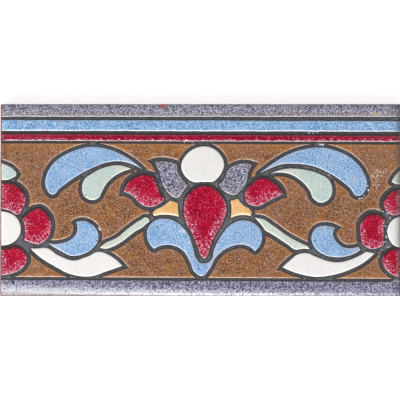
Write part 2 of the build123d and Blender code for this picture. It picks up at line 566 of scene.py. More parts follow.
@dataclass(frozen=True)
class Fade:
    """Colour that changes towards one side of the tile; used for tones of the glaze itself and for painted
    shade and painted highlight over rolled edges.
    """

    colour: Colour
    along: Spot             # direction in which it changes
    start: float            # distance from the middle in that direction, in millimetres
    end: float
    strength: float = 1.0
    ragged: float = 1.0

    WAVE = 1.3                  # size of the breaks
    SHIFT = (2.0, 60.0)

    def over(self, recipe: Recipe, colour: Signal) -> Signal:
        """Lays the fade over a colour.

        Args:
            recipe: Material that it is laid in.
            colour: Colour below.

        Returns:
            The new colour.
        """
        way = recipe.node("ShaderNodeVectorMath", {"operation": "DOT_PRODUCT"},
                          {0: recipe.place(), 1: (*self.along, 0.0)}, "Value")
        wave = recipe.wave(self.WAVE, 1.0, self.SHIFT) * ((self.end - self.start) * self.ragged)
        return recipe.mix((way + wave).rise(self.start, self.end) * self.strength, colour,
                          linear(self.colour))


Layer = Union[Grain, Tint, Rim, Fade, Mark]
RELIEF_SHIFT = (5.0, 11.0)
GLASS_IOR = 1.5


def layered(recipe: Recipe, colour: Signal, *layers: Layer) -> Signal:
    """Lays several layers over a colour in turn.

    Args:
        recipe: Material that they are laid in.
        colour: Colour below.
        layers: The layers, the lowest first.

    Returns:
        The new colour.
    """
    for layer in layers:
        colour = layer.over(recipe, colour)
    return colour


# Painted shade where the glaze rolls off the far end, darker towards the end
END_SHADE = Fade((40, 22, 18), (1.0, 0.0), 133.5, 141.0, 0.75, 0.3)


@dataclass(frozen=True)
class PoolGlaze:
    """A glossy glaze: mottled, grained, of another tone where its pool is narrow, with rims."""

    name: str
    mottle: Mottle
    narrow: Colour
    narrow_room: float = 2.5
    narrow_share: float = 0.7
    layers: tuple[Layer, ...] = ()
    marks: tuple[Mark, ...] = ()
    roughness: float = 0.12
    relief: float = 0.03

    WAVER = 3.0                 # size of the lumps by which the narrow tone and the gloss waver
    WAVER_SHIFT = (50.0, 3.0)
    NARROWEST = 0.3             # share of the narrow room at which that tone is full
    DIMPLE = 2.2
    DULL = 0.08                 # how much the roughness varies

    def make(self) -> bpy.types.Material:
        """Makes the material.

        Returns:
            The material of this glaze.
        """
        recipe = new_recipe(self.name)
        colour = self.mottle.colour(recipe)
        waver = recipe.wave(self.WAVER, 2.0, self.WAVER_SHIFT) * self.narrow_room
        thin = (recipe.room() + waver).rise(self.narrow_room, self.narrow_room * self.NARROWEST)
        colour = recipe.mix(thin * self.narrow_share, colour, linear(self.narrow))
        colour = layered(recipe, colour, *self.layers, END_SHADE, *self.marks)
        normal = recipe.bump(recipe.cloud(self.DIMPLE, 2.0, RELIEF_SHIFT), self.relief)
        dull = recipe.cloud(self.WAVER, 2.0) * self.DULL + (self.roughness - self.DULL / 2)
        return recipe.surface(colour, dull, normal, IOR=GLASS_IOR)


@dataclass(frozen=True)
class CrimsonGlaze:
    """A deep red glaze with pale crystal streaks and sparkle that gather towards the foot-side edge of its
    pool: partly the glaze's crystals, partly painted glints and painted sheen.
    """

    name: str = "crimson_glaze"
    mottle: Mottle = Mottle((136, 0, 32), (212, 32, 70), grain=1.0, contrast=3.2, drift=1.0)
    brink: Colour = (54, 6, 24)
    brink_width: float = 1.7
    glint_haze: Colour = (206, 60, 98)
    glint_haze_share: float = 0.5
    crystal_glint: Colour = (246, 182, 204)
    flank_reach: float = 3.4
    foot_reach: float = 8.5
    streak_length: float = 2.2
    streak_width: float = 0.6
    cover: float = 0.1
    sparkle_share: float = 0.3
    # Painted highlight along the foot-side edge
    rim: Rim = Rim((244, 206, 220), 0.4, Side.FOOT, 0.7, 1.2)
    roughness: float = 0.12

    BROAD = 6.0                 # size of the lumps by which the haze wavers
    BROAD_SHIFT = (3.0, 9.0)
    TURN = (-0.3, 0.9)          # how far an edge faces the foot where its haze starts to reach further
    FLOW = 0.8                  # how much the haze wavers
    AWAY = (-1.0, -0.2)         # edges that face the head more than this have no haze
    LIT = 0.66                  # noise above which a streak is lit where there is no haze
    GLOOM = 0.42                # noise below which one is dark
    GLOOM_SHARE = 0.75
    DOT = (1.5, 0.3)            # pitch and radius of the sparkle
    DOT_SHIFT = (9.0, 2.0)
    SPARSE = 0.42               # share of the sparkle that shows without haze
    DIMPLE = 1.4
    RELIEF = 0.05
    WAVER = 2.0
    DULL = 0.1

    def make(self) -> bpy.types.Material:
        """Makes the material.

        Returns:
            The material of this glaze.
        """
        recipe = new_recipe(self.name)
        gap, run, foot = recipe.edge()
        colour = self.mottle.colour(recipe)
        broad = recipe.wave(self.BROAD, 2.0, self.BROAD_SHIFT)
        # Painted sheen: a pink haze that reaches furthest in from the foot-side edges and not at all from
        # the head side
        reach = self.flank_reach + foot.rise(*self.TURN) * (self.foot_reach - self.flank_reach)
        near = (1 - gap / reach + broad * self.FLOW).at_least(0.0).at_most(1.0)
        depth = near * foot.rise(*self.AWAY)
        colour = recipe.mix(depth * self.glint_haze_share, colour, linear(self.glint_haze))
        flow = recipe.node("ShaderNodeCombineXYZ", inputs={
            "X": run / self.streak_width, "Y": gap / self.streak_length, "Z": 0.0})
        streaks = recipe.node("ShaderNodeTexNoise", {"noise_dimensions": "2D"},
                              {"Vector": flow, "Scale": 1.0, "Detail": 0.5, "Roughness": 0.5})
        # Painted glints: pale streaks running in from the edge, darker streaks between them, and sparkle
        # dots, mostly where the sheen is
        lit = (streaks - (self.LIT - depth * self.cover)).rise(0.0, 0.10)
        colour = recipe.mix(lit * depth.rise(0.0, 0.4), colour, linear(self.crystal_glint))
        gloom = (self.GLOOM - streaks).rise(0.0, 0.12) * depth.rise(0.15, 0.6)
        colour = recipe.mix(gloom * self.GLOOM_SHARE, colour, linear(self.brink))
        dots = recipe.grains(*self.DOT, self.sparkle_share, self.DOT_SHIFT)
        colour = recipe.mix(dots * (depth * 0.6 + broad + self.SPARSE), colour, linear(self.crystal_glint))
        # Painted shade along the head-side edge, a thin dark brink round every edge, then self.rim, a
        # painted highlight along the foot-side edge
        head = Rim(self.brink, self.brink_width, Side.HEAD, 1.0)
        brink = Rim(self.brink, 0.4, Side.ALL, 0.8)
        colour = layered(recipe, colour, head, brink, self.rim, END_SHADE)
        normal = recipe.bump(recipe.cloud(self.DIMPLE, 2.0, RELIEF_SHIFT), self.RELIEF)
        dull = recipe.cloud(self.WAVER) * self.DULL + (self.roughness - self.DULL / 2)
        return recipe.surface(colour, dull, normal, IOR=GLASS_IOR)


@dataclass(frozen=True)
class DryLine:
    """Matte manganese line, with painted shade making it blackest where the raised glaze meets it."""

    name: str = "dry_line"
    mottle: Mottle = Mottle((60, 62, 68), (112, 114, 119), grain=1.3, contrast=1.8, drift=0.6)
    # The rim layer is painted shade along the glaze's edges
    layers: tuple[Layer, ...] = (Grain((146, 146, 148), 2.6, 0.35, 0.12, 0.6),
                                 Rim((5, 5, 9), 0.95, Side.ALL, 0.85, 0.25))
    marks: tuple[Mark, ...] = ()
    roughness: float = 0.7

    GRIT = 0.8
    RELIEF = 0.05
    DULL = 0.2

    def make(self) -> bpy.types.Material:
        """Makes the material.

        Returns:
            The material of the line.
        """
        recipe = new_recipe(self.name)
        colour = self.mottle.colour(recipe)
        colour = layered(recipe, colour, *self.layers, *self.marks)
        grit = recipe.cloud(self.GRIT, 3.0)
        dull = grit * self.DULL + (self.roughness - self.DULL / 2)
        return recipe.surface(colour, dull, recipe.bump(grit, self.RELIEF))


@dataclass(frozen=True)
class FiredClay:
    """Unglazed clay with grog and a dusty surface."""

    name: str = "fired_clay"
    mottle: Mottle = Mottle((168, 126, 108), (220, 186, 172), grain=1.6, contrast=1.2, drift=1.2)
    layers: tuple[Layer, ...] = (Tint((150, 104, 84), 14.0, 0.35, 6.0),
                                 Grain((128, 80, 60), 1.9, 0.7, 0.5, 0.8, Spread.THROUGH),
                                 Grain((240, 224, 212), 2.9, 0.8, 0.3, 0.6, Spread.THROUGH))
    roughness: float = 0.85

    GROG = 1.1
    GROG_SHIFT = (8.0, 3.0)
    RELIEF = 0.12
    DULL = 0.1

    def make(self) -> bpy.types.Material:
        """Makes the material.

        Returns:
            The material of the clay.
        """
        recipe = new_recipe(self.name)
        colour = self.mottle.colour(recipe)
        colour = layered(recipe, colour, *self.layers)
        grog = recipe.cloud(self.GROG, 3.0, self.GROG_SHIFT)
        dull = grog * self.DULL + (self.roughness - self.DULL / 2)
        return recipe.surface(colour, dull, recipe.bump(grog, self.RELIEF))


@dataclass
class TileForm:
    """Sizes of the tile and the heights of its surfaces, in millimetres."""

    low: Vector
    high: Vector
    glaze_rise: float = 0.6
    roll_drop: float = 2.6
    end_roll: float = 2.6
    side_roll: float = 6.0
    corner_round: float = 0.8
    back_ease: float = 0.6
    key_depth: float = 1.0
    key_width: float = 9.0
    key_pitch: float = 22.0
    key_count: int = 5
    bare_end: float = 1.1
    bare_side: float = 0.5
    glaze_end: float = 1.15     # the line shows between this and the bare clay at the starting end
    line_end: float = 0.75
    line_foot: float = 0.3
    brim: float = 0.08          # the glaze runs out to this far from the other sides
    roll_power: float = 4.0

    def __post_init__(self) -> None:
        """Works out the half sizes."""
        self.half = np.array([(self.high.x - self.low.x) / 2, (self.high.y - self.low.y) / 2]) / MM
        self.height = (self.high.z - self.low.z) / MM

    def _fall(self, spots: np.ndarray, depth: float) -> np.ndarray:
        """Drop of a surface of the given roll depth below its middle.

        Args:
            spots: Points as x and y.
            depth: How deep the roll goes at the side.

        Returns:
            The drop at each point.
        """
        inset = np.maximum(self.half - np.abs(spots), 0.0)
        part = 1 - np.minimum(inset / np.array([self.end_roll, self.side_roll]), 1.0)
        drops = depth * (1 - np.sqrt(np.maximum(1 - part * part, 0.0)))
        return (drops ** self.roll_power).sum(1) ** (1 / self.roll_power)

    def clay_top(self, spots: np.ndarray) -> np.ndarray:
        """Height of the clay face at points."""
        return self.height - self.glaze_rise - self._fall(spots, self.roll_drop - self.glaze_rise)

    def glaze_top(self, spots: np.ndarray) -> np.ndarray:
        """Height of a full pool at points."""
        return self.height - self._fall(spots, self.roll_drop)

    def line_frame(self) -> np.ndarray:
        """Corners of the area that is drawn, once round."""
        left, right = -self.half[0] + self.line_end, self.half[0] - self.brim / 2
        down, up = -self.half[1] + self.line_foot, self.half[1] - self.brim / 2
        return np.array([(left, down), (right, down), (right, up), (left, up)])

    def run_out(self, loop: np.ndarray) -> np.ndarray:
        """Carries an edge that ends at the bare head or far side out to the brim."""
        slack = 0.05
        loop = np.where(loop > self.half - self.bare_side - slack, self.half - self.brim, loop)
        start = loop[:, 0] < slack + self.bare_end - self.half[0]
        return np.column_stack([np.where(start, self.glaze_end - self.half[0], loop[:, 0]), loop[:, 1]])

    def within(self, spots: np.ndarray) -> np.ndarray:
        """Draws points that lie over the sides or rounded corners back inside the tile."""
        inner = self.half - self.corner_round
        over = np.maximum(np.abs(spots) - inner, 0.0)
        length = np.maximum(np.linalg.norm(over, axis=1), 1e-9)
        factor = np.minimum(1.0, (self.corner_round - self.brim / 2) / length)
        return np.sign(spots) * (np.minimum(np.abs(spots), inner) + over * factor[:, None])


class Outlines:
    """Edges of the glaze pools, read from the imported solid."""

    WELD = 1e-3
    UPRIGHT = 0.15
    TOP_SLACK = 0.3
    SPECK = 0.5

    def __init__(self, node: bpy.types.Object, height: float) -> None:
        """Takes the node's mesh and the tile's height in millimetres."""
        mesh = node.data
        count = len(mesh.vertices)
        points = np.empty(count * 3)
        mesh.vertices.foreach_get("co", points)
        points = points.reshape(-1, 3) / MM
        _, first, index = np.unique(np.round(points / self.WELD).astype(np.int64), axis=0,
                                    return_index=True, return_inverse=True)
        self.points = points[first]
        mesh.calc_loop_triangles()
        corners = np.empty(len(mesh.loop_triangles) * 3, dtype=np.int64)
        mesh.loop_triangles.foreach_get("vertices", corners)
        self.triangles = index.reshape(-1)[corners].reshape(-1, 3)
        self.height = height

    def pools(self) -> list[list[np.ndarray]]:
        """Loops of every pool, the outer one first.

        Returns:
            One list of loops for each pool; a loop keeps the glaze on its left.
        """
        spots = self.points[self.triangles]
        normals = np.cross(spots[:, 1] - spots[:, 0], spots[:, 2] - spots[:, 0])
        size = np.linalg.norm(normals, axis=1)
        facing = normals[:, 2] > self.UPRIGHT * np.maximum(size, 1e-12)
        faces = self.triangles[facing & (size > 0)]
        owner = list(range(len(self.points)))

        def root(index: int) -> int:
            """Root of a point's group."""
            while owner[index] != index:
                owner[index] = owner[owner[index]]
                index = owner[index]
            return index

        for one, two, three in faces:
            owner[root(two)] = root(one)
            owner[root(three)] = root(one)
        groups: dict[int, list[np.ndarray]] = {}
        for face in faces:
            groups.setdefault(root(face[0]), []).append(face)
        found = []
        for members in groups.values():
            group = np.array(members)
            if self.points[group, 2].max() > self.height - self.TOP_SLACK:
                found.append(self._loops(group))
        return found

    def _loops(self, faces: np.ndarray) -> list[np.ndarray]:
        """Boundary loops of a group of triangles, largest first."""
        sides = {(int(face[k]), int(face[(k + 1) % 3])) for face in faces for k in range(3)}
        rims = sorted((start, end) for start, end in sides if (end, start) not in sides)
        loops = [self.points[chain, :2] for chain in chained(rims)]
        loops = [loop for loop in loops if abs(area_of(loop)) > self.SPECK]
        return sorted(loops, key=lambda loop: -abs(area_of(loop)))


def area_of(loop: np.ndarray) -> float:
    """Signed area inside a loop."""
    after = np.roll(loop, -1, axis=0)
    return float((loop[:, 0] * after[:, 1] - after[:, 0] * loop[:, 1]).sum() / 2)


def inside(loops: Sequence[np.ndarray], spots: np.ndarray) -> np.ndarray:
    """Tells which points lie inside an area.

    Args:
        loops: The edges of the area, with those of its holes.
        spots: Points as x and y.

    Returns:
        Whether each point lies inside.
    """
    held = np.zeros(len(spots), dtype=bool)
    for loop in loops:
        low, high = loop.min(0), loop.max(0)
        near = np.flatnonzero(((spots >= low) & (spots <= high)).all(1))
        after = np.roll(loop, -1, axis=0)
        for part in np.array_split(near, max(1, len(near) // 2000)):
            x, y = spots[part, 0][:, None], spots[part, 1][:, None]
            spans = (loop[:, 1] > y) != (after[:, 1] > y)
            rise = np.where(after[:, 1] == loop[:, 1], 1.0, after[:, 1] - loop[:, 1])
            meets = loop[:, 0] + (y - loop[:, 1]) * (after[:, 0] - loop[:, 0]) / rise
            held[part] ^= ((spans & (x < meets)).sum(1) % 2).astype(bool)
    return held


def turned(heading: np.ndarray) -> np.ndarray:
    """Unit vectors at right angles, to the left of each heading."""
    return np.stack([-heading[:, 1], heading[:, 0]], axis=1)


@dataclass
class Stroke:
    """Redraws a loop of short runs as one smooth hand-drawn line."""

    spacing: float = 0.5
    corner: float = 0.45        # a turn above this many radians stays a corner
    straight: float = 3.0       # a run this much longer than its neighbour is a straight
    shortest: float = 0.03
    tremble: float = 0.0
    tremble_length: float = 7.0

    def draw(self, loop: np.ndarray, seed: float) -> np.ndarray:
        """Redraws one loop.

        Args:
            loop: Points once round.
            seed: Picks the tremble of the hand.

        Returns:
            Points about one spacing apart.
        """
        keep = np.linalg.norm(np.roll(loop, -1, axis=0) - loop, axis=1) > self.shortest
        loop = loop[keep]
        runs = np.roll(loop, -1, axis=0) - loop
        lengths = np.linalg.norm(runs, axis=1)
        ahead = runs / lengths[:, None]
        behind = np.roll(ahead, 1, axis=0)
        before = np.roll(lengths, 1)
        turn = np.abs(np.arctan2(behind[:, 0] * ahead[:, 1] - behind[:, 1] * ahead[:, 0],
                                 (behind * ahead).sum(1)))
        sharp = turn > self.corner
        smooth = behind * lengths[:, None] + ahead * before[:, None]
        smooth = np.where((before > self.straight * lengths)[:, None], behind, smooth)
        smooth = np.where((lengths > self.straight * before)[:, None], ahead, smooth)
        smooth /= np.linalg.norm(smooth, axis=1)[:, None]
        drawn = []
        for index, start in enumerate(loop):
            follower = (index + 1) % len(loop)
            chord, length = ahead[index], lengths[index]
            leave, arrive = smooth[index], smooth[follower]
            if sharp[index] and sharp[follower]:
                leave = arrive = chord
            elif sharp[index]:
                leave = 2 * chord * (chord @ arrive) - arrive
            elif sharp[follower]:
                arrive = 2 * chord * (chord @ leave) - leave
            steps = max(1, round(length / self.spacing))
            share = np.arange(steps)[:, None] / steps
            square, cube = share ** 2, share ** 3
            drawn.append((2 * cube - 3 * square + 1) * start + (3 * square - 2 * cube) * loop[follower]
                         + (cube - 2 * square + share) * leave * length
                         + (cube - square) * arrive * length)
        line = np.concatenate(drawn)
        if self.tremble > 0:
            shifts = [noise.noise_vector(Vector((x, y, seed)) / self.tremble_length)[:2] for x, y in line]
            line = line + np.array(shifts) * self.tremble
        return line


@dataclass
class Sheet:
    """A closed thin piece over an area of the face, finely meshed towards its edges."""

    name: str
    loops: list[np.ndarray]
    form: TileForm
    rings: tuple[float, ...]
    spacing: float = 0.9
    sunk: float = 0.3

    ATTRIBUTE = "glaze_edge"
    ROOM = "glaze_room"
    ROOM_LOSS = 0.4
    ROOM_STEPS = 26
    CROWD = 0.22

    def __post_init__(self) -> None:
        """Lists the edge's points with their inward normals and run."""
        self.edge = np.concatenate(self.loops)
        ahead, behind, inward, run = [], [], [], []
        offset = 0
        for loop in self.loops:
            count = len(loop)
            numbers = np.arange(count)
            ahead.append(offset + (numbers + 1) % count)
            behind.append(offset + (numbers - 1) % count)
            steps = np.roll(loop, -1, axis=0) - loop
            lengths = np.linalg.norm(steps, axis=1)
            mean = steps / lengths[:, None] + np.roll(steps / lengths[:, None], 1, axis=0)
            inward.append(turned(mean / np.maximum(np.linalg.norm(mean, axis=1), 1e-9)[:, None]))
            run.append(np.concatenate([[0.0], np.cumsum(lengths)[:-1]]))
            offset += count
        self.ahead, self.behind = np.concatenate(ahead), np.concatenate(behind)
        self.inward, self.run = np.concatenate(inward), np.concatenate(run)
        self.tree = kdtree.KDTree(len(self.edge))
        for index, (x, y) in enumerate(self.edge):
            self.tree.insert((x, y, 0.0), index)
        self.tree.balance()

    def measure(self, spots: np.ndarray) -> tuple[np.ndarray, np.ndarray, np.ndarray]:
        """Distance to the edge, run along it and how far it faces the foot.

        Args:
            spots: Points as x and y.

        Returns:
            The three measures of each point.
        """
        near = np.array([self.tree.find((x, y, 0.0))[1] for x, y in spots], dtype=np.int64)
        best = np.full(len(spots), np.inf)
        run = np.zeros(len(spots))
        for start, end in ((self.behind[near], near), (near, self.ahead[near])):
            side = self.edge[end] - self.edge[start]
            square = np.maximum((side ** 2).sum(1), 1e-12)
            share = np.clip(((spots - self.edge[start]) * side).sum(1) / square, 0.0, 1.0)
            gap = np.linalg.norm(spots - self.edge[start] - side * share[:, None], axis=1)
            closer = gap < best
            run = np.where(closer, self.run[start] + share * np.sqrt(square), run)
            best = np.where(closer, gap, best)
        return best, run, self.inward[near][:, 1]

    def holds(self, spots: np.ndarray) -> np.ndarray:
        """Whether each point lies inside the area."""
        return inside(self.loops, spots)

    def _inner_points(self) -> np.ndarray:
        """Points inside the area: rings along the edge, then an even field."""
        chosen = []
        for distance in self.rings:
            ring = self.edge + self.inward * distance
            gap, _, _ = self.measure(ring)
            chosen.append(ring[gap > 0.97 * distance])
        low, high = self.edge.min(0), self.edge.max(0)
        rows = np.arange(low[1], high[1], self.spacing * math.sqrt(3) / 2)
        columns = np.arange(low[0], high[0], self.spacing)
        grid = np.array([(x + (row % 2) * self.spacing / 2, y)
                         for row, y in enumerate(rows) for x in columns])
        if len(grid):
            grid = grid[self.holds(grid)]
            gap, _, _ = self.measure(grid)
            chosen.append(grid[gap > self.rings[-1] + self.spacing * 0.4])
        points = np.concatenate(chosen)
        cells = np.floor(points / self.CROWD).astype(np.int64)
        _, first = np.unique(cells, axis=0, return_index=True)
        return points[np.sort(first)]

    def _triangles(self, spots: np.ndarray) -> tuple[np.ndarray, np.ndarray]:
        """Delaunay triangles over the points that keep the edges of the area.

        Args:
            spots: Points, those of the edge first.

        Returns:
            The points in use and the triangles, turned upwards.
        """
        links = [(index, int(self.ahead[index])) for index in range(len(self.edge))]
        out = geometry.delaunay_2d_cdt([Vector(spot) for spot in spots], links, [], 0, 1e-6, False)
        points = np.array([tuple(vert) for vert in out[0]])
        faces = np.array([tuple(face) for face in out[2] if len(face) == 3], dtype=np.int64)
        faces = faces[self.holds(points[faces].mean(1))]
        corners = points[faces]
        first, second = corners[:, 1] - corners[:, 0], corners[:, 2] - corners[:, 0]
        flipped = first[:, 0] * second[:, 1] - first[:, 1] * second[:, 0] < 0
        faces[flipped] = faces[flipped][:, ::-1]
        used, numbers = np.unique(faces, return_inverse=True)
        return points[used], numbers.reshape(-1, 3)

    def relief(self, spots: np.ndarray, gap: np.ndarray) -> np.ndarray:
        """Height of the sheet's face; subclasses shape it."""
        return self.form.clay_top(spots) + 0.03

    def build(self, material: bpy.types.Material, slot: str) -> bpy.types.Object:
        """Builds the piece and gives it its finish.

        Args:
            material: Finish.
            slot: Material slot of the record; not used.

        Returns:
            The piece, riding on the tile.
        """
        spots, faces = self._triangles(np.concatenate([self.edge, self._inner_points()]))
        sides = {(int(face[k]), int(face[(k + 1) % 3])) for face in faces for k in range(3)}
        rims = [(one, two) for one, two in sides if (two, one) not in sides]
        below = {index: len(spots) + number for number, index in
                 enumerate(sorted({index for side in rims for index in side}))}
        under = np.array(sorted(below), dtype=np.int64)
        gap, run, foot = self.measure(spots)
        top = self.relief(spots, gap)
        bottom = self.form.clay_top(spots[under]) - self.sunk
        base = Sheet(self.name, [spots[loop] for loop in chained(rims)], self.form, self.rings)
        base_spots, base_faces = base._triangles(base.edge)
        lookup = {tuple(np.round(spots[index], 5)): below[index] for index in under}
        keys = [lookup.get(tuple(np.round(spot, 5))) for spot in base_spots]
        walls = [(two, one, below[one], below[two]) for one, two in rims]
        floor = [(keys[c], keys[b], keys[a]) for a, b, c in base_faces]
        heights = np.concatenate([top, bottom])
        plan = np.concatenate([spots, spots[under]])
        mesh = bpy.data.meshes.new(self.name)
        mesh.from_pydata([tuple(point) for point in np.column_stack([plan, heights]) * MM], [],
                         [tuple(map(int, face)) for face in faces] + walls + floor)
        store = mesh.attributes.new(self.ATTRIBUTE, "FLOAT_VECTOR", "POINT")
        values = np.zeros((len(plan), 3), dtype=np.float32)
        values[:len(spots)] = np.column_stack([gap, run, foot])
        values[len(spots):] = values[under]
        store.data.foreach_set("vector", values.ravel())
        store = mesh.attributes.new(self.ROOM, "FLOAT", "POINT")
        room = self._room(spots, faces, gap)
        store.data.foreach_set("value", np.concatenate([room, room[under]]).astype(np.float32))
        self._unwrap(mesh, plan, len(faces))
        mesh.polygons.foreach_set("use_smooth", [True] * len(mesh.polygons))
        mesh.set_sharp_from_angle(angle=math.radians(40))
        mesh.materials.append(material)
        mesh.validate()
        piece = bpy.data.objects.new(self.name, mesh)
        bpy.context.scene.collection.objects.link(piece)
        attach(piece, BODY)
        return piece

    def _room(self, spots: np.ndarray, faces: np.ndarray, gap: np.ndarray) -> np.ndarray:
        """Distance to the edge at the deepest place near each point, less a share of the way there."""
        ends = np.concatenate([faces[:, [0, 1]], faces[:, [1, 2]], faces[:, [2, 0]]])
        ends = np.unique(np.sort(ends, axis=1), axis=0)
        loss = self.ROOM_LOSS * np.linalg.norm(spots[ends[:, 0]] - spots[ends[:, 1]], axis=1)
        room = gap.copy()
        for _ in range(self.ROOM_STEPS):
            before = room.copy()
            np.maximum.at(room, ends[:, 0], before[ends[:, 1]] - loss)
            np.maximum.at(room, ends[:, 1], before[ends[:, 0]] - loss)
        return room

    def _unwrap(self, mesh: bpy.types.Mesh, plan: np.ndarray, faces_on_top: int) -> None:
        """Lays the face flat on most of the map and the hidden sides on a strip of it."""
        layer = mesh.uv_layers.new(name="OFBake")
        corners = np.empty(len(mesh.loops), dtype=np.int64)
        mesh.loops.foreach_get("vertex_index", corners)
        low, high = plan.min(0), plan.max(0)
        share = (plan[corners] - low) / np.maximum(high - low, 1e-6)
        flat = np.column_stack([0.01 + share[:, 0] * 0.98, 0.01 + share[:, 1] * 0.92])
        flat[faces_on_top * 3:, 1] = 0.96 + share[faces_on_top * 3:, 1] * 0.03
        layer.data.foreach_set("uv", flat.astype(np.float32).ravel())


def chained(sides: list[tuple[int, int]]) -> list[list[int]]:
    """Orders directed sides into closed loops of point numbers, parted where they touch."""
    ahead: dict[int, list[int]] = {}
    for start, end in sides:
        ahead.setdefault(start, []).append(end)
    loops = []
    while ahead:
        chain = [next(iter(ahead))]
        while chain[-1] in ahead:
            after = ahead[chain[-1]].pop()
            if not ahead[chain[-1]]:
                del ahead[chain[-1]]
            if after in chain:
                begin = chain.index(after)
                loops.append(chain[begin:])
                chain = chain[:begin + 1]
            else:
                chain.append(after)
    return loops


@dataclass
class Pool(Sheet):
    """A pool of glaze that stands up from the line in a rounded bead and settles level."""

    bead: float = 1.5
    bead_change: float = 0.3
    swell: float = 0.08
    settle: float = 5.0
    foot_height: float = 0.02

    def relief(self, spots: np.ndarray, gap: np.ndarray) -> np.ndarray:
        """Height of the glaze's face at points that lie gap from its edge."""
        waves = np.array([(noise.noise(Vector((x, y, 3.0)) / 5.0), noise.noise(Vector((x, y, 9.0)) / 9.0))
                          for x, y in spots])
        bead = self.bead * (1 + self.bead_change * waves[:, 0])
        part = np.clip(1 - gap / bead, 0.0, 1.0)
        full = np.sqrt(1 - part * part)
        level = np.clip(gap / self.settle, 0.0, 1.0)
        level = level * level * (3 - 2 * level)
        crown = 1 - self.swell * (1 - level) - self.swell * 0.5 * (1 + waves[:, 1]) * level
        low, high = self.form.clay_top(spots), self.form.glaze_top(spots)
        return low + self.foot_height + (high - low - self.foot_height) * full * crown


@dataclass
class ClayBody:
    """The fired slab under the drawing, with keying grooves in its back."""

    form: TileForm
    name: str = "clay_body"
    pitch: float = 3.0

    def _stations(self, half: float, roll: float) -> np.ndarray:
        """Places of the grid lines across one direction, closer over the rolled sides."""
        share = 1 - np.cos(np.linspace(0, math.pi / 2, 9))
        rolled = np.unique(np.concatenate([share * roll, np.linspace(0, self.form.corner_round, 5)]))
        count = max(2, round((2 * half - 2 * rolled[-1]) / self.pitch))
        inner = np.linspace(-half + rolled[-1], half - rolled[-1], count + 1)[1:-1]
        return np.concatenate([-half + rolled, inner, half - rolled[::-1]])

    def _rounded(self, spots: np.ndarray) -> np.ndarray:
        """Draws the four upright corners in to a quarter circle."""
        size = self.form.corner_round
        inset = self.form.half - np.abs(spots)
        part = np.clip((size - inset) / size, 0.0, 1.0)
        both = (part > 0).all(1)
        squeezed = part * np.sqrt(1 - part[:, ::-1] ** 2 / 2)
        moved = np.sign(spots) * (self.form.half - size + squeezed * size)
        return np.where(both[:, None], moved, spots)

    def _slab(self) -> bpy.types.Object:
        """The slab before its grooves are cut."""
        form = self.form
        across = self._stations(form.half[0], form.end_roll)
        along = self._stations(form.half[1], form.side_roll)
        plan = np.array([(x, y) for y in along for x in across])
        tops = form.clay_top(plan)
        plan = self._rounded(plan)
        columns, rows = len(across), len(along)
        mesh = bmesh.new()
        upper = [mesh.verts.new((x * MM, y * MM, z * MM)) for (x, y), z in zip(plan, tops)]
        shrink = (form.half - form.back_ease) / form.half
        lower = [mesh.verts.new((x * shrink[0] * MM, y * shrink[1] * MM, 0.0)) for x, y in plan]
        for row in range(rows - 1):
            for column in range(columns - 1):
                a = row * columns + column
                mesh.faces.new([upper[a], upper[a + 1], upper[a + columns + 1], upper[a + columns]])
                mesh.faces.new([lower[a + columns], lower[a + columns + 1], lower[a + 1], lower[a]])
        rim = ([column for column in range(columns - 1)]
               + [row * columns + columns - 1 for row in range(rows - 1)]
               + [(rows - 1) * columns + column for column in range(columns - 1, 0, -1)]
               + [row * columns for row in range(rows - 1, 0, -1)])
        waist = {index: mesh.verts.new((plan[index][0] * MM, plan[index][1] * MM, form.back_ease * MM))
                 for index in rim}
        for number, index in enumerate(rim):
            after = rim[(number + 1) % len(rim)]
            mesh.faces.new([waist[index], waist[after], upper[after], upper[index]])
            mesh.faces.new([lower[index], lower[after], waist[after], waist[index]])
        data = bpy.data.meshes.new(self.name)
        mesh.to_mesh(data)
        mesh.free()
        slab = bpy.data.objects.new(self.name, data)
        bpy.context.scene.collection.objects.link(slab)
        return slab

    def _cutter(self) -> bpy.types.Object:
        """Rounded bars that cut the keying grooves."""
        form = self.form
        reach = form.half[0] + 2.0
        ease = form.key_depth * 0.25
        mesh = bmesh.new()
        for index in range(form.key_count):
            middle = (index - (form.key_count - 1) / 2) * form.key_pitch
            wide = form.key_width / 2
            section = [(-wide - ease, -1.0), (wide + ease, -1.0), (wide + ease, 0.0),
                       (wide, ease), (wide, form.key_depth - ease), (wide - ease, form.key_depth),
                       (ease - wide, form.key_depth), (-wide, form.key_depth - ease), (-wide, ease),
                       (-wide - ease, 0.0)]
            ends = [[mesh.verts.new((x * MM, (middle + y) * MM, z * MM)) for y, z in section]
                    for x in (-reach, reach)]
            count = len(section)
            for number in range(count):
                after = (number + 1) % count
                mesh.faces.new([ends[0][after], ends[0][number], ends[1][number], ends[1][after]])
            mesh.faces.new(ends[0])
            mesh.faces.new(ends[1][::-1])
        bmesh.ops.recalc_face_normals(mesh, faces=mesh.faces)
        data = bpy.data.meshes.new("key_cutter")
        mesh.to_mesh(data)
        mesh.free()
        cutter = bpy.data.objects.new("key_cutter", data)
        bpy.context.scene.collection.objects.link(cutter)
        return cutter

    def build(self, material: bpy.types.Material, slot: str) -> bpy.types.Object:
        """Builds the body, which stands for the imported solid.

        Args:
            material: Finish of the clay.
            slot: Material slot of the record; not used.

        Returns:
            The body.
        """
        slab, cutter = self._slab(), self._cutter()
        cut = slab.modifiers.new("keys", "BOOLEAN")
        cut.operation, cut.solver, cut.object = "DIFFERENCE", "EXACT", cutter
        graph = bpy.context.evaluated_depsgraph_get()
        data = bpy.data.meshes.new_from_object(slab.evaluated_get(graph))
        slab.modifiers.clear()
        slab.data = data
        data.name = self.name
        bpy.data.objects.remove(cutter)
        data.polygons.foreach_set("use_smooth", [True] * len(data.polygons))
        data.set_sharp_from_angle(angle=math.radians(35))
        data.materials.clear()
        data.materials.append(material)
        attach(slab, BODY)
        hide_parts(NODE)
        return slab


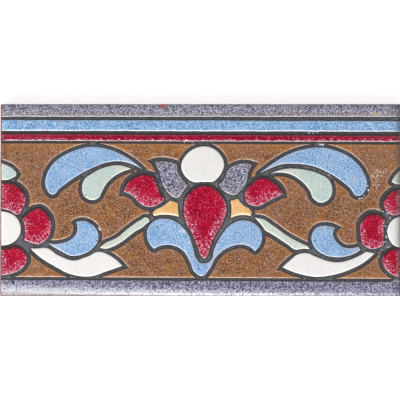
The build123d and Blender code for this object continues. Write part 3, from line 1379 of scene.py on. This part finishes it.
@dataclass
class Drawing:
    """All pools of the tile with their glazes, and the line between them."""

    form: TileForm
    rings: tuple[float, ...] = (0.05, 0.2, 0.44, 0.75, 1.1, 1.5)
    line_rings: tuple[float, ...] = (0.2, 0.45, 0.8)

    # A spot somewhere inside each pool, by which it is known
    PLACES = {
        "leaf_left": (-80, 30, Glaze.BLUE), "leaf_left_inner": (-75, 10, Glaze.GREEN),
        "calyx_left": (-135, 20, Glaze.GREEN), "petal_left_top": (-130, 0, Glaze.CRIMSON),
        "heart_left": (-135, -20, Glaze.WHITE), "petal_left_inner": (-115, -20, Glaze.CRIMSON),
        "petal_left_foot": (-130, -40, Glaze.CRIMSON), "hook_left": (-80, -25, Glaze.BLUE),
        "crescent_left": (-75, -45, Glaze.WHITE), "stem_left": (-50, -22, Glaze.GREEN),
        "bud_left": (-40, 5, Glaze.CRIMSON), "sepal_left": (-20, 15, Glaze.GREY),
        "disc": (0, 25, Glaze.WHITE), "sepal_right": (25, 15, Glaze.GREY),
        "drop": (0, -10, Glaze.CRIMSON), "flame_left": (-20, -6, Glaze.ORANGE),
        "flame_right": (25, -6, Glaze.ORANGE), "calyx": (-25, -20, Glaze.BLUE),
        "bud_right": (45, 5, Glaze.CRIMSON), "leaf_right_inner": (85, 10, Glaze.GREEN),
        "leaf_right": (90, 30, Glaze.BLUE), "stem_right": (55, -24, Glaze.GREEN),
        "hook_right": (85, -30, Glaze.BLUE), "crescent_right": (75, -45, Glaze.WHITE),
        "petal_right_inner": (120, -20, Glaze.CRIMSON), "heart_right": (135, -20, Glaze.WHITE),
        "petal_right_top": (135, 0, Glaze.CRIMSON), "petal_right_foot": (135, -45, Glaze.CRIMSON),
        "calyx_right": (137, 14, Glaze.GREEN), "band_grey": (0, 62, Glaze.GREY),
        "band_sky": (0, 52, Glaze.SKY), "band_crimson": (0, 43, Glaze.BAND),
        "plinth": (0, -62, Glaze.PLINTH), "ground_foot_left": (-110, -50, Glaze.GROUND),
        "ground_under_stem_left": (-35, -45, Glaze.GROUND),
        "ground_under_stem_right": (35, -45, Glaze.GROUND),
        "ground_foot_right": (120, -50, Glaze.GROUND), "ground_right": (100, -5, Glaze.GROUND),
        "ground_over_sepal_right": (35, 33, Glaze.GROUND), "ground_left": (-95, -5, Glaze.GROUND),
        "ground_over_sepal_left": (-35, 34, Glaze.GROUND),
    }
    BANDS = ("band_grey", "band_sky", "band_crimson", "plinth")
    SLOTS = {Glaze.SKY: "glaze_blue", Glaze.PLINTH: "glaze_grey", Glaze.BAND: "glaze_crimson"}

    def build(self, finishes: dict[Glaze, bpy.types.Material], line: bpy.types.Material) -> None:
        """Builds every pool and the line.

        Args:
            finishes: Material of each glaze.
            line: Material of the dry line.
        """
        drawn: list[np.ndarray] = []
        for number, (name, glaze, loops) in enumerate(self._named_pools()):
            shake = 0.22 if name in self.BANDS else 0.05
            stroke = Stroke(tremble=shake)
            loops = [self.form.within(stroke.draw(self.form.run_out(loop), 10.0 * number))
                     for loop in loops]
            drawn += loops
            pool = Pool(name=name, loops=loops, form=self.form, rings=self.rings)
            piece = pool.build(finishes[glaze], self.SLOTS.get(glaze, glaze.value))
            log.info("%s: %d faces", piece.name, len(piece.data.polygons))
        border = self.form.within(Stroke(spacing=1.0).draw(self.form.line_frame(), 0.0))
        sheet = Sheet(name="dry_line", loops=[border] + [loop[::-1] for loop in drawn], form=self.form,
                      rings=self.line_rings, spacing=1.5)
        piece = sheet.build(line, "dry_line")
        log.info("%s: %d faces", piece.name, len(piece.data.polygons))

    def _named_pools(self) -> list[tuple[str, Glaze, list[np.ndarray]]]:
        """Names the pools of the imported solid.

        Returns:
            Name, glaze and loops of every pool, in the order of the places.

        Raises:
            ValueError: If a pool holds no place or several, or a place lies in no pool.
        """
        names = list(self.PLACES)
        places = np.array([self.PLACES[name][:2] for name in names], dtype=float)
        found = {}
        for loops in Outlines(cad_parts[NODE], self.form.height).pools():
            number, = np.flatnonzero(inside(loops, places))
            found[int(number)] = loops
        if len(found) < len(names):
            raise ValueError(f"{len(names) - len(found)} places lie in no pool")
        return [(name, self.PLACES[name][2], found[number]) for number, name in enumerate(names)]


@dataclass
class Studio:
    """Pale floor, soft light from the foot of the picture, and a camera above the tile."""

    form: TileForm
    seen_width: float = 0.2789
    distance: float = 1.6
    tilt: float = 2.5
    face_height: float = 0.012
    aim: tuple[float, float] = (-0.0003, -0.0001)
    sky: float = 0.44
    floor_size: float = 14.0
    hole_inset: float = 1.0         # the floor ends this far inside the tile's edge, in millimetres

    WHITE = (1.0, 1.0, 1.0, 1.0)
    PALE = (0.95, 0.95, 0.95, 1.0)
    DARK = (0.03, 0.03, 0.03, 1.0)
    FLOOR_DROP = 0.0002
    FLOOR_GLOW = 0.6
    BOX_SIZE = (1.6, 0.45)
    BOX_POWER = 22.0
    BOX_PLACE = (-0.45, -1.05, 0.95)
    CARD_SIDES = 48
    CARD_RADIUS = 0.45
    CARD_PLACE = (0.0, -0.12, 2.2)
    SENSOR = 36.0
    CLIP = (0.05, 50.0)

    def build(self) -> None:
        """Makes the floor, the light and the camera."""
        self._world()
        self._floor()
        self._strip()
        self._card()
        self._camera()

    def _world(self) -> None:
        """White surround: its full strength is what the camera and gloss see, less lights the tile."""
        world = bpy.data.worlds.new("surround")
        bpy.context.scene.world = world
        recipe = Recipe(world)
        level = recipe.node("ShaderNodeMapRange", inputs={
            "Value": self._seen(recipe), "To Min": self.sky, "To Max": 1.0})
        recipe.close(recipe.node("ShaderNodeBackground", inputs={"Color": self.WHITE, "Strength": level}))

    @staticmethod
    def _seen(recipe: Recipe) -> Signal:
        """1 for what the camera and gloss see, 0 for what lights the tile."""
        path = recipe.node("ShaderNodeLightPath", output="Is Camera Ray")
        return path.at_least(path.output("Is Glossy Ray")).at_least(path.output("Is Transmission Ray"))

    def _floor(self) -> None:
        """Plain pale floor round the tile, open to views from below and under it, where light gets in."""
        half = self.floor_size / 2
        hole = (self.form.half - self.hole_inset) * MM
        turns = ((-1, -1), (1, -1), (1, 1), (-1, 1))
        mesh = bpy.data.meshes.new("floor")
        mesh.from_pydata([(x * half, y * half, 0) for x, y in turns]
                         + [(x * hole[0], y * hole[1], 0) for x, y in turns], [],
                         [(side, (side + 1) % 4, (side + 1) % 4 + 4, side + 4) for side in range(4)])
        floor = bpy.data.objects.new("floor", mesh)
        floor.location.z = -self.FLOOR_DROP
        bpy.context.scene.collection.objects.link(floor)
        recipe = new_recipe("pale_floor")
        matte = recipe.node("ShaderNodeBsdfDiffuse", inputs={"Color": self.PALE})
        glow = recipe.node("ShaderNodeEmission", inputs={"Color": self.WHITE, "Strength": self.FLOOR_GLOW})
        lit = recipe.node("ShaderNodeAddShader", inputs={0: matte, 1: glow})
        plain = recipe.node("ShaderNodeMixShader", inputs={0: self._seen(recipe), 1: matte, 2: lit})
        clear = recipe.node("ShaderNodeBsdfTransparent")
        under = recipe.node("ShaderNodeNewGeometry", output="Backfacing")
        recipe.close(recipe.node("ShaderNodeMixShader", inputs={0: under, 1: plain, 2: clear}))
        mesh.materials.append(recipe.owner)

    def _strip(self) -> None:
        """Long softbox beyond the foot of the tile."""
        data = bpy.data.lights.new("softbox", "AREA")
        data.shape = "RECTANGLE"
        data.size, data.size_y = self.BOX_SIZE
        data.energy = self.BOX_POWER
        box = bpy.data.objects.new("softbox", data)
        bpy.context.scene.collection.objects.link(box)
        place = Vector(self.BOX_PLACE)
        box.location = place
        box.rotation_mode = "QUATERNION"
        box.rotation_quaternion = (-place).to_track_quat("-Z", "Y")

    def _card(self) -> None:
        """Dark card round the camera, so that level glaze mirrors no light into it."""
        mesh = bpy.data.meshes.new("card")
        turns = [2 * math.pi * side / self.CARD_SIDES for side in range(self.CARD_SIDES)]
        ring = [(math.cos(turn) * self.CARD_RADIUS, math.sin(turn) * self.CARD_RADIUS, 0) for turn in turns]
        mesh.from_pydata(ring, [], [tuple(range(self.CARD_SIDES))])
        card = bpy.data.objects.new("card", mesh)
        card.location = self.CARD_PLACE
        bpy.context.scene.collection.objects.link(card)
        recipe = new_recipe("dark_card")
        recipe.close(recipe.node("ShaderNodeBsdfDiffuse", inputs={"Color": self.DARK}))
        mesh.materials.append(recipe.owner)
        card.visible_camera = False

    def _camera(self) -> None:
        """Camera above the tile, leaning a little towards its foot."""
        data = bpy.data.cameras.new("camera")
        camera = bpy.data.objects.new("camera", data)
        bpy.context.scene.collection.objects.link(camera)
        target = Vector((self.aim[0], self.aim[1], self.face_height))
        lean = math.radians(self.tilt)
        back = Vector((0.0, -math.sin(lean), math.cos(lean)))
        camera.location = target + back * self.distance
        camera.rotation_euler = (lean, 0.0, 0.0)
        data.sensor_width = self.SENSOR
        data.lens = data.sensor_width * self.distance / self.seen_width
        data.clip_start, data.clip_end = self.CLIP
        bpy.context.scene.camera = camera


def scuffs(*spots: Spot, colour: Colour = (232, 232, 236), length: float = 1.2, width: float = 0.7,
           turn: float = 0.0) -> tuple[Mark, ...]:
    """Marks of one kind at several places, each a little different.

    Args:
        spots: Their places on the tile.
        colour: Their colour.
        length: Their mean length in millimetres.
        width: Their mean width.
        turn: Direction of the first in degrees.

    Returns:
        The marks.
    """
    uneven = (1.0, 0.7, 1.25, 0.85, 1.4)
    return tuple(Mark(spot, length * uneven[number % 5], width * uneven[number % 3], colour,
                      turn + 50.0 * number) for number, spot in enumerate(spots))


def line_scuffs() -> tuple[Mark, ...]:
    """Pale chips along the dry line, most of them round the rosette at the far end."""
    chips = (scuffs((128.8, -18.2), (130.2, -21.7), (129.5, -25.9), (128.8, -29.4), (130.9, -32.9),
                    (124.0, -6.6), (127.5, -8.2), (130.4, -9.6), (128.8, -51.8), (124.2, -39.4),
                    (132.2, -12.8), (126.2, -34.9), colour=(206, 212, 222), length=1.5, width=0.9)
             + scuffs((110.8, 0.8), (114.2, 2.9), (117.2, 6.8), (116.6, 9.8), (112.6, 1.2),
                      length=1.4, width=0.9)
             + scuffs((89.5, 17.4), (93.9, 11.9), (75.8, 46.9), (78.6, 46.6), (81.4, 47.0),
                      (-11.2, 40.5), (-8.4, 40.9), (-5.6, 40.4), (83.2, 38.9), (86.0, 38.2),
                      colour=(200, 204, 212)))
    return chips + (Mark((-70.3, -20.3), 3.0, 1.1, (236, 232, 230), -55.0),
                    Mark((84.6, 38.6), 3.2, 1.1, (226, 230, 238), 12.0),
                    Mark((136.2, -56.7), 5.4, 0.7, (226, 230, 238)))


def finishes() -> dict[Glaze, bpy.types.Material]:
    """Material of each glaze."""
    pin_hole = (62, 78, 118)
    return {
        Glaze.GROUND: PoolGlaze(
            "ground_glaze", Mottle((66, 42, 27), (192, 138, 102), grain=0.66, contrast=8.5, drift=0.6),
            narrow=(178, 112, 40), narrow_room=4.5, narrow_share=0.45,
            layers=(Tint((180, 118, 54), 10.0, 0.4, 9.0), Tint((162, 114, 98), 14.0, 0.4, 41.0),
                    # Painted shade where the glaze rolls over the starting end
                    Fade((64, 32, 12), (-1.0, 0.0), 133.5, 139.0, 0.9),
                    Fade((184, 116, 42), (0.0, 1.0), 30.0, 39.5, 0.4),
                    Grain((60, 40, 32), 1.3, 0.34, 0.26, 0.85), Grain((226, 196, 178), 1.4, 0.34, 0.2),
                    Grain((196, 132, 66), 2.7, 0.6, 0.25, 0.35),
                    # Paler along every edge, partly the glaze's own tone and partly painted highlight;
                    # painted shade on head-facing edges; painted highlight on foot-facing edges
                    Rim((190, 142, 108), 2.0, Side.ALL, 0.22, 1.0),
                    Rim((118, 76, 42), 0.6, Side.HEAD, 0.5), Rim((232, 206, 192), 0.5, Side.FOOT, 0.6, 1.4)),
            marks=(Mark((124.5, 18.5), 11.0, 6.0, (226, 200, 186), 20.0, 1.0, 0.42),
                   Mark((123.0, 11.5), 5.0, 8.0, (214, 184, 168), 0.0, 1.0, 0.38))
            + scuffs((129.5, 9.0), colour=(226, 140, 70))
            + scuffs((-115.5, -42.0), colour=(52, 34, 30)), roughness=0.16).make(),
        Glaze.GREY: PoolGlaze(
            "grey_glaze", Mottle((64, 64, 90), (198, 198, 218), grain=0.9, contrast=8.0, drift=0.6),
            narrow=(172, 154, 150), narrow_room=2.2, narrow_share=0.5,
            layers=(Tint((156, 140, 150), 9.0, 0.4, 7.0), Grain((58, 54, 78), 1.9, 0.55, 0.3, 0.8),
                    Grain((220, 218, 228), 2.2, 0.45, 0.2), Grain((150, 122, 118), 2.6, 0.6, 0.2, 0.4),
                    # Beige on foot-facing edges, partly the glaze's own tone and partly painted highlight;
                    # painted shade on head-facing edges; a thin painted highlight on foot-facing edges
                    Rim((172, 158, 150), 2.6, Side.FOOT, 0.4, 0.9), Rim((96, 78, 74), 0.5, Side.HEAD, 0.2),
                    Rim((226, 216, 220), 0.45, Side.FOOT, 0.8)),
            marks=(Mark((-26.2, 65.8), 3.8, 3.2, (206, 84, 66)),
                   Mark((123.0, 59.9), 7.0, 2.2, (190, 176, 146)))).make(),
        Glaze.PLINTH: PoolGlaze(
            "plinth_glaze", Mottle((76, 73, 100), (174, 174, 198), grain=0.9, contrast=6.4, drift=0.6),
            narrow=(150, 140, 150), narrow_room=1.0, narrow_share=0.5,
            # Paler towards the foot, partly the glaze thinning over the rolled edge and partly painted
            # highlight on that roll, more to the left where the light is stronger
            layers=(Fade((232, 232, 240), (-0.03, -1.0), 61.1, 66.9, 0.76, 2.2),
                    Grain((60, 56, 76), 1.9, 0.5, 0.3, 0.75), Grain((226, 226, 238), 2.2, 0.42, 0.22),
                    Fade((120, 106, 100), (-0.02, -1.0), 66.2, 68.0, 0.8, 0.8),
                    # Painted shade along the head-facing edge
                    Rim((84, 70, 72), 0.5, Side.HEAD, 0.5))).make(),
        Glaze.BLUE: PoolGlaze(
            "blue_glaze", Mottle((102, 150, 208), (192, 222, 248), grain=1.0, contrast=3.5, drift=0.8),
            narrow=(186, 196, 222), narrow_room=3.0,
            layers=(Tint((170, 190, 226), 11.0, 0.4, 3.0), Grain((88, 124, 180), 2.1, 0.45, 0.25, 0.7),
                    Grain(pin_hole, 9.0, 0.55, 0.18, 0.9), Rim((220, 222, 240), 0.55, Side.ALL, 0.55),
                    # Painted highlight along foot-facing edges
                    Rim((236, 234, 246), 0.4, Side.FOOT, 0.4)),
            marks=scuffs((105.0, 20.3), (103.0, 14.7), (107.5, 14.7), length=2.4, width=0.5)
            + scuffs((-12.7, -21.0), (-13.2, -24.0), (-11.5, -22.4), (-14.2, -22.2), colour=(238, 240, 246),
                     length=2.0, width=0.9)
            + (Mark((91.0, -19.5), 6.5, 3.6, (160, 168, 190), -30.0, 0.9),)
            + scuffs((-103.9, 9.1), (-86.1, -31.9), (-30.1, -18.9), (3.5, -46.2), (-92.1, 28.0),
                     colour=pin_hole)).make(),
        Glaze.SKY: PoolGlaze(
            "sky_glaze", Mottle((94, 145, 204), (184, 219, 249), grain=0.95, contrast=3.7, drift=0.5),
            narrow=(170, 196, 226), narrow_room=0.8,
            layers=(Tint((166, 192, 226), 11.0, 0.3, 5.0), Grain((76, 112, 164), 1.9, 0.45, 0.25, 0.7),
                    Grain(pin_hole, 8.0, 0.5, 0.2, 0.9), Rim((196, 220, 242), 0.5, Side.HEAD, 0.8),
                    # Painted highlight along the foot-facing edge
                    Rim((240, 246, 250), 0.7, Side.FOOT))).make(),
        Glaze.GREEN: PoolGlaze(
            "green_glaze", Mottle((184, 208, 203), (220, 232, 227), grain=1.3, contrast=2.6, drift=1.2),
            narrow=(228, 228, 208), narrow_room=3.0,
            layers=(Tint((224, 226, 204), 12.0, 0.4, 15.0), Grain((150, 164, 146), 3.0, 0.4, 0.15, 0.6),
                    # The second rim is a painted highlight along foot-facing edges
                    Rim((244, 238, 226), 0.6, Side.ALL, 0.7), Rim((250, 248, 240), 0.6, Side.FOOT, 0.7)),
            marks=scuffs((-82.6, 28.0), (-101.0, 3.0), (-80.1, 3.2), colour=(88, 86, 84))).make(),
        Glaze.WHITE: PoolGlaze(
            "white_glaze", Mottle((244, 240, 238), (254, 251, 250), grain=1.6, contrast=1.6, drift=1.2),
            narrow=(250, 242, 234), narrow_room=2.0, narrow_share=0.5,
            layers=(Tint((250, 242, 242), 9.0, 0.6, 2.0), Tint((240, 244, 238), 8.0, 0.5, 19.0),
                    Rim((254, 248, 240), 0.5, Side.ALL, 0.7)),
            marks=scuffs((2.4, 19.6), (106.4, -42.0), colour=(206, 198, 196)), roughness=0.1).make(),
        Glaze.ORANGE: PoolGlaze(
            "orange_glaze", Mottle((242, 180, 104), (252, 212, 158), grain=1.6, contrast=1.4, drift=1.6),
            narrow=(252, 216, 164), narrow_room=1.6,
            layers=(Rim((253, 230, 200), 0.6, Side.ALL, 0.6),
                    # Paler on foot-facing edges, partly the glaze's pale cream and partly painted highlight
                    Rim((254, 238, 210), 1.8, Side.FOOT, 0.8))).make(),
        Glaze.CRIMSON: CrimsonGlaze().make(),
        Glaze.BAND: CrimsonGlaze(
            "crimson_band_glaze", Mottle((112, 0, 28), (194, 24, 66), grain=1.1, contrast=3.6, drift=0.8),
            brink_width=1.1, glint_haze_share=0.25, flank_reach=1.2, foot_reach=2.4, streak_length=0.5,
            streak_width=2.6, cover=0.07, sparkle_share=0.1,
            # Painted highlight along the foot-facing edge
            rim=Rim((240, 214, 224), 0.45, Side.FOOT, 0.8, 1.8)).make(),
    }


def main() -> None:
    """Builds the tile and its studio."""
    logging.basicConfig(level=logging.INFO, format="%(name)s %(message)s")
    bpy.context.scene.view_settings.view_transform = "Standard"
    low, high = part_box(NODE)
    form = TileForm(low, high)
    body = ClayBody(form).build(FiredClay().make(), "clay")
    log.info("%s: %d faces", body.name, len(body.data.polygons))
    Drawing(form).build(finishes(), DryLine(marks=line_scuffs()).make())
    Studio(form).build()


if __name__ == "__main__":
    main()
